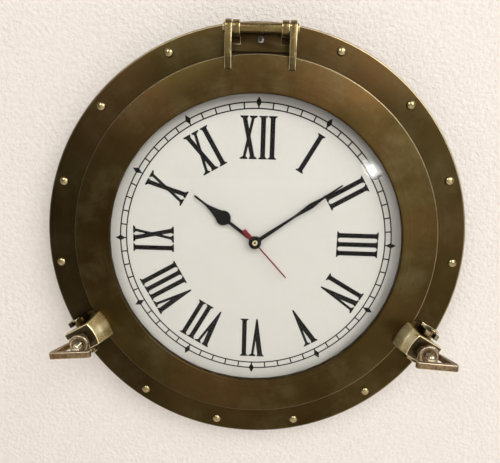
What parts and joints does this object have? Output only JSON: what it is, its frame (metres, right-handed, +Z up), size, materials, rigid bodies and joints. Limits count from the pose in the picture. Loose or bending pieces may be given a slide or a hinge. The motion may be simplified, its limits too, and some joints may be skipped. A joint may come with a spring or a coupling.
{
  "type": "wall clock",
  "caption": "Round brass porthole wall clock: hinged glazed door held by two swing dogs over a white Roman dial with quartz hands.",
  "frame": {"origin": "centre of the back, in the wall plane, on the hands' axis", "axes": "+Z up, -Y out of the wall towards the viewer, +Y into the wall, +X right as seen from the front"},
  "size_m": [0.381, 0.092, 0.381],
  "materials": {
    "aged_brass": "dark antique brass, brushed and lacquered",
    "bright_brass": "worn antique brass with bright edges",
    "pale_brass": "polished pale brass",
    "bronze": "pinkish bronze casting, bright on its edges",
    "steel": "plain steel",
    "dial_white": "matt off-white print ground",
    "glass": "clear flat glass",
    "rubber": "black rubber",
    "fibreboard": "brown hardboard",
    "hand_black": "satin black paint",
    "hand_red": "dark red paint",
    "black_plastic": "matt black moulding",
    "white_plastic": "natural acetal moulding",
    "board_green": "green circuit board",
    "copper": "enamelled copper winding",
    "battery_sleeve": "plain dark printed sleeve"
  },
  "bodies": {
    "base": {"base_ring": "aged_brass", "rim_screw_01": "pale_brass", "rim_screw_02": "pale_brass", "rim_screw_03": "pale_brass", "rim_screw_04": "pale_brass", "rim_screw_05": "pale_brass", "rim_screw_06": "pale_brass", "rim_screw_07": "pale_brass", "rim_screw_08": "pale_brass", "rim_screw_09": "pale_brass", "rim_screw_10": "pale_brass", "rim_screw_11": "pale_brass", "rim_screw_12": "pale_brass", "hinge_bracket": "aged_brass", "hinge_bracket_screw": "steel", "hinge_pin": "bright_brass", "dog_bracket_left": "aged_brass", "dog_bracket_right": "aged_brass", "door_gasket": "rubber", "dial_plate": "dial_white", "backboard": "fibreboard", "battery_hatch": "black_plastic", "keyhole_hanger": "steel", "movement_case": "black_plastic", "movement_cover": "black_plastic", "battery": "battery_sleeve", "battery_contact_positive": "steel", "battery_contact_negative": "steel", "circuit_board": "board_green", "coil": "copper", "stator": "steel", "train_plate": "white_plastic", "threaded_bush": "bright_brass", "shaft_nut": "bright_brass", "rubber_washer": "rubber"},
    "door": {"door_ring": "aged_brass", "hinge_arm_left": "bright_brass", "hinge_arm_right": "bright_brass", "lug_left": "bright_brass", "lug_right": "bright_brass", "glass_pane": "glass", "glass_gasket": "rubber", "glass_clamp_ring": "aged_brass"},
    "dog_left": {"dog_bolt_left": "aged_brass", "dog_pin_left": "bright_brass"},
    "dog_right": {"dog_bolt_right": "aged_brass", "dog_pin_right": "bright_brass"},
    "nut_left": {"dog_nut_left": "bronze"},
    "nut_right": {"dog_nut_right": "bronze"},
    "seconds": {"second_wheel": "white_plastic", "second_hand": "hand_red", "second_hand_cap": "pale_brass"},
    "minutes": {"minute_wheel": "white_plastic", "minute_hand": "hand_black"},
    "hours": {"hour_wheel": "white_plastic", "hour_hand": "hand_black"},
    "third": {"third_wheel": "white_plastic"},
    "intermediate": {"intermediate_wheel": "white_plastic"},
    "rotor": {"rotor": "steel"},
    "setting": {"setting_wheel": "white_plastic"}
  },
  "joints": [
    {"name": "door_hinge", "type": "hinge", "parent": "base", "child": "door", "pos_m": [0, -0.0415, 0.1825], "axis": [-1, 0, 0], "range_deg": [0, 110]},
    {"name": "dog_left_swing", "type": "hinge", "parent": "door", "child": "dog_left", "pos_m": [-0.15675, -0.0423, -0.0905], "axis": [0.5, 0, -0.866], "range_deg": [0, 95]},
    {"name": "nut_left_spin", "type": "hinge", "parent": "dog_left", "child": "nut_left", "pos_m": [-0.15085, -0.0632, -0.08871], "axis": [0, -1, 0], "continuous": true},
    {"name": "dog_right_swing", "type": "hinge", "parent": "door", "child": "dog_right", "pos_m": [0.15675, -0.0423, -0.0905], "axis": [0.5, 0, 0.866], "range_deg": [0, 95]},
    {"name": "nut_right_spin", "type": "hinge", "parent": "dog_right", "child": "nut_right", "pos_m": [0.15296, -0.0632, -0.08727], "axis": [0, -1, 0], "continuous": true},
    {"name": "second_hand_spin", "type": "hinge", "parent": "base", "child": "seconds", "pos_m": [0, -0.02, 0], "axis": [0, 1, 0], "continuous": true},
    {"name": "minute_hand_spin", "type": "hinge", "parent": "base", "child": "minutes", "pos_m": [0, -0.02, 0], "axis": [0, 1, 0], "continuous": true},
    {"name": "hour_hand_spin", "type": "hinge", "parent": "base", "child": "hours", "pos_m": [0, -0.02, 0], "axis": [0, 1, 0], "continuous": true},
    {"name": "third_wheel_spin", "type": "hinge", "parent": "base", "child": "third", "pos_m": [-0.0093, -0.02, 0], "axis": [0, 1, 0], "continuous": true},
    {"name": "intermediate_wheel_spin", "type": "hinge", "parent": "base", "child": "intermediate", "pos_m": [0.00375, -0.02, 0.00649], "axis": [0, 1, 0], "continuous": true},
    {"name": "rotor_spin", "type": "hinge", "parent": "base", "child": "rotor", "pos_m": [0.00705, -0.02, 0.01221], "axis": [0, 1, 0], "continuous": true},
    {"name": "setting_knob_spin", "type": "hinge", "parent": "base", "child": "setting", "pos_m": [0.0091, -0.02, 0], "axis": [0, 1, 0], "continuous": true}
  ],
  "couplings": [
    {"joint": "minute_hand_spin", "follows": "second_hand_spin", "ratio": 0.016667},
    {"joint": "hour_hand_spin", "follows": "second_hand_spin", "ratio": 0.0013889},
    {"joint": "third_wheel_spin", "follows": "second_hand_spin", "ratio": -0.125},
    {"joint": "intermediate_wheel_spin", "follows": "second_hand_spin", "ratio": -5},
    {"joint": "rotor_spin", "follows": "second_hand_spin", "ratio": 30},
    {"joint": "setting_knob_spin", "follows": "second_hand_spin", "ratio": -0.0055556}
  ]
}
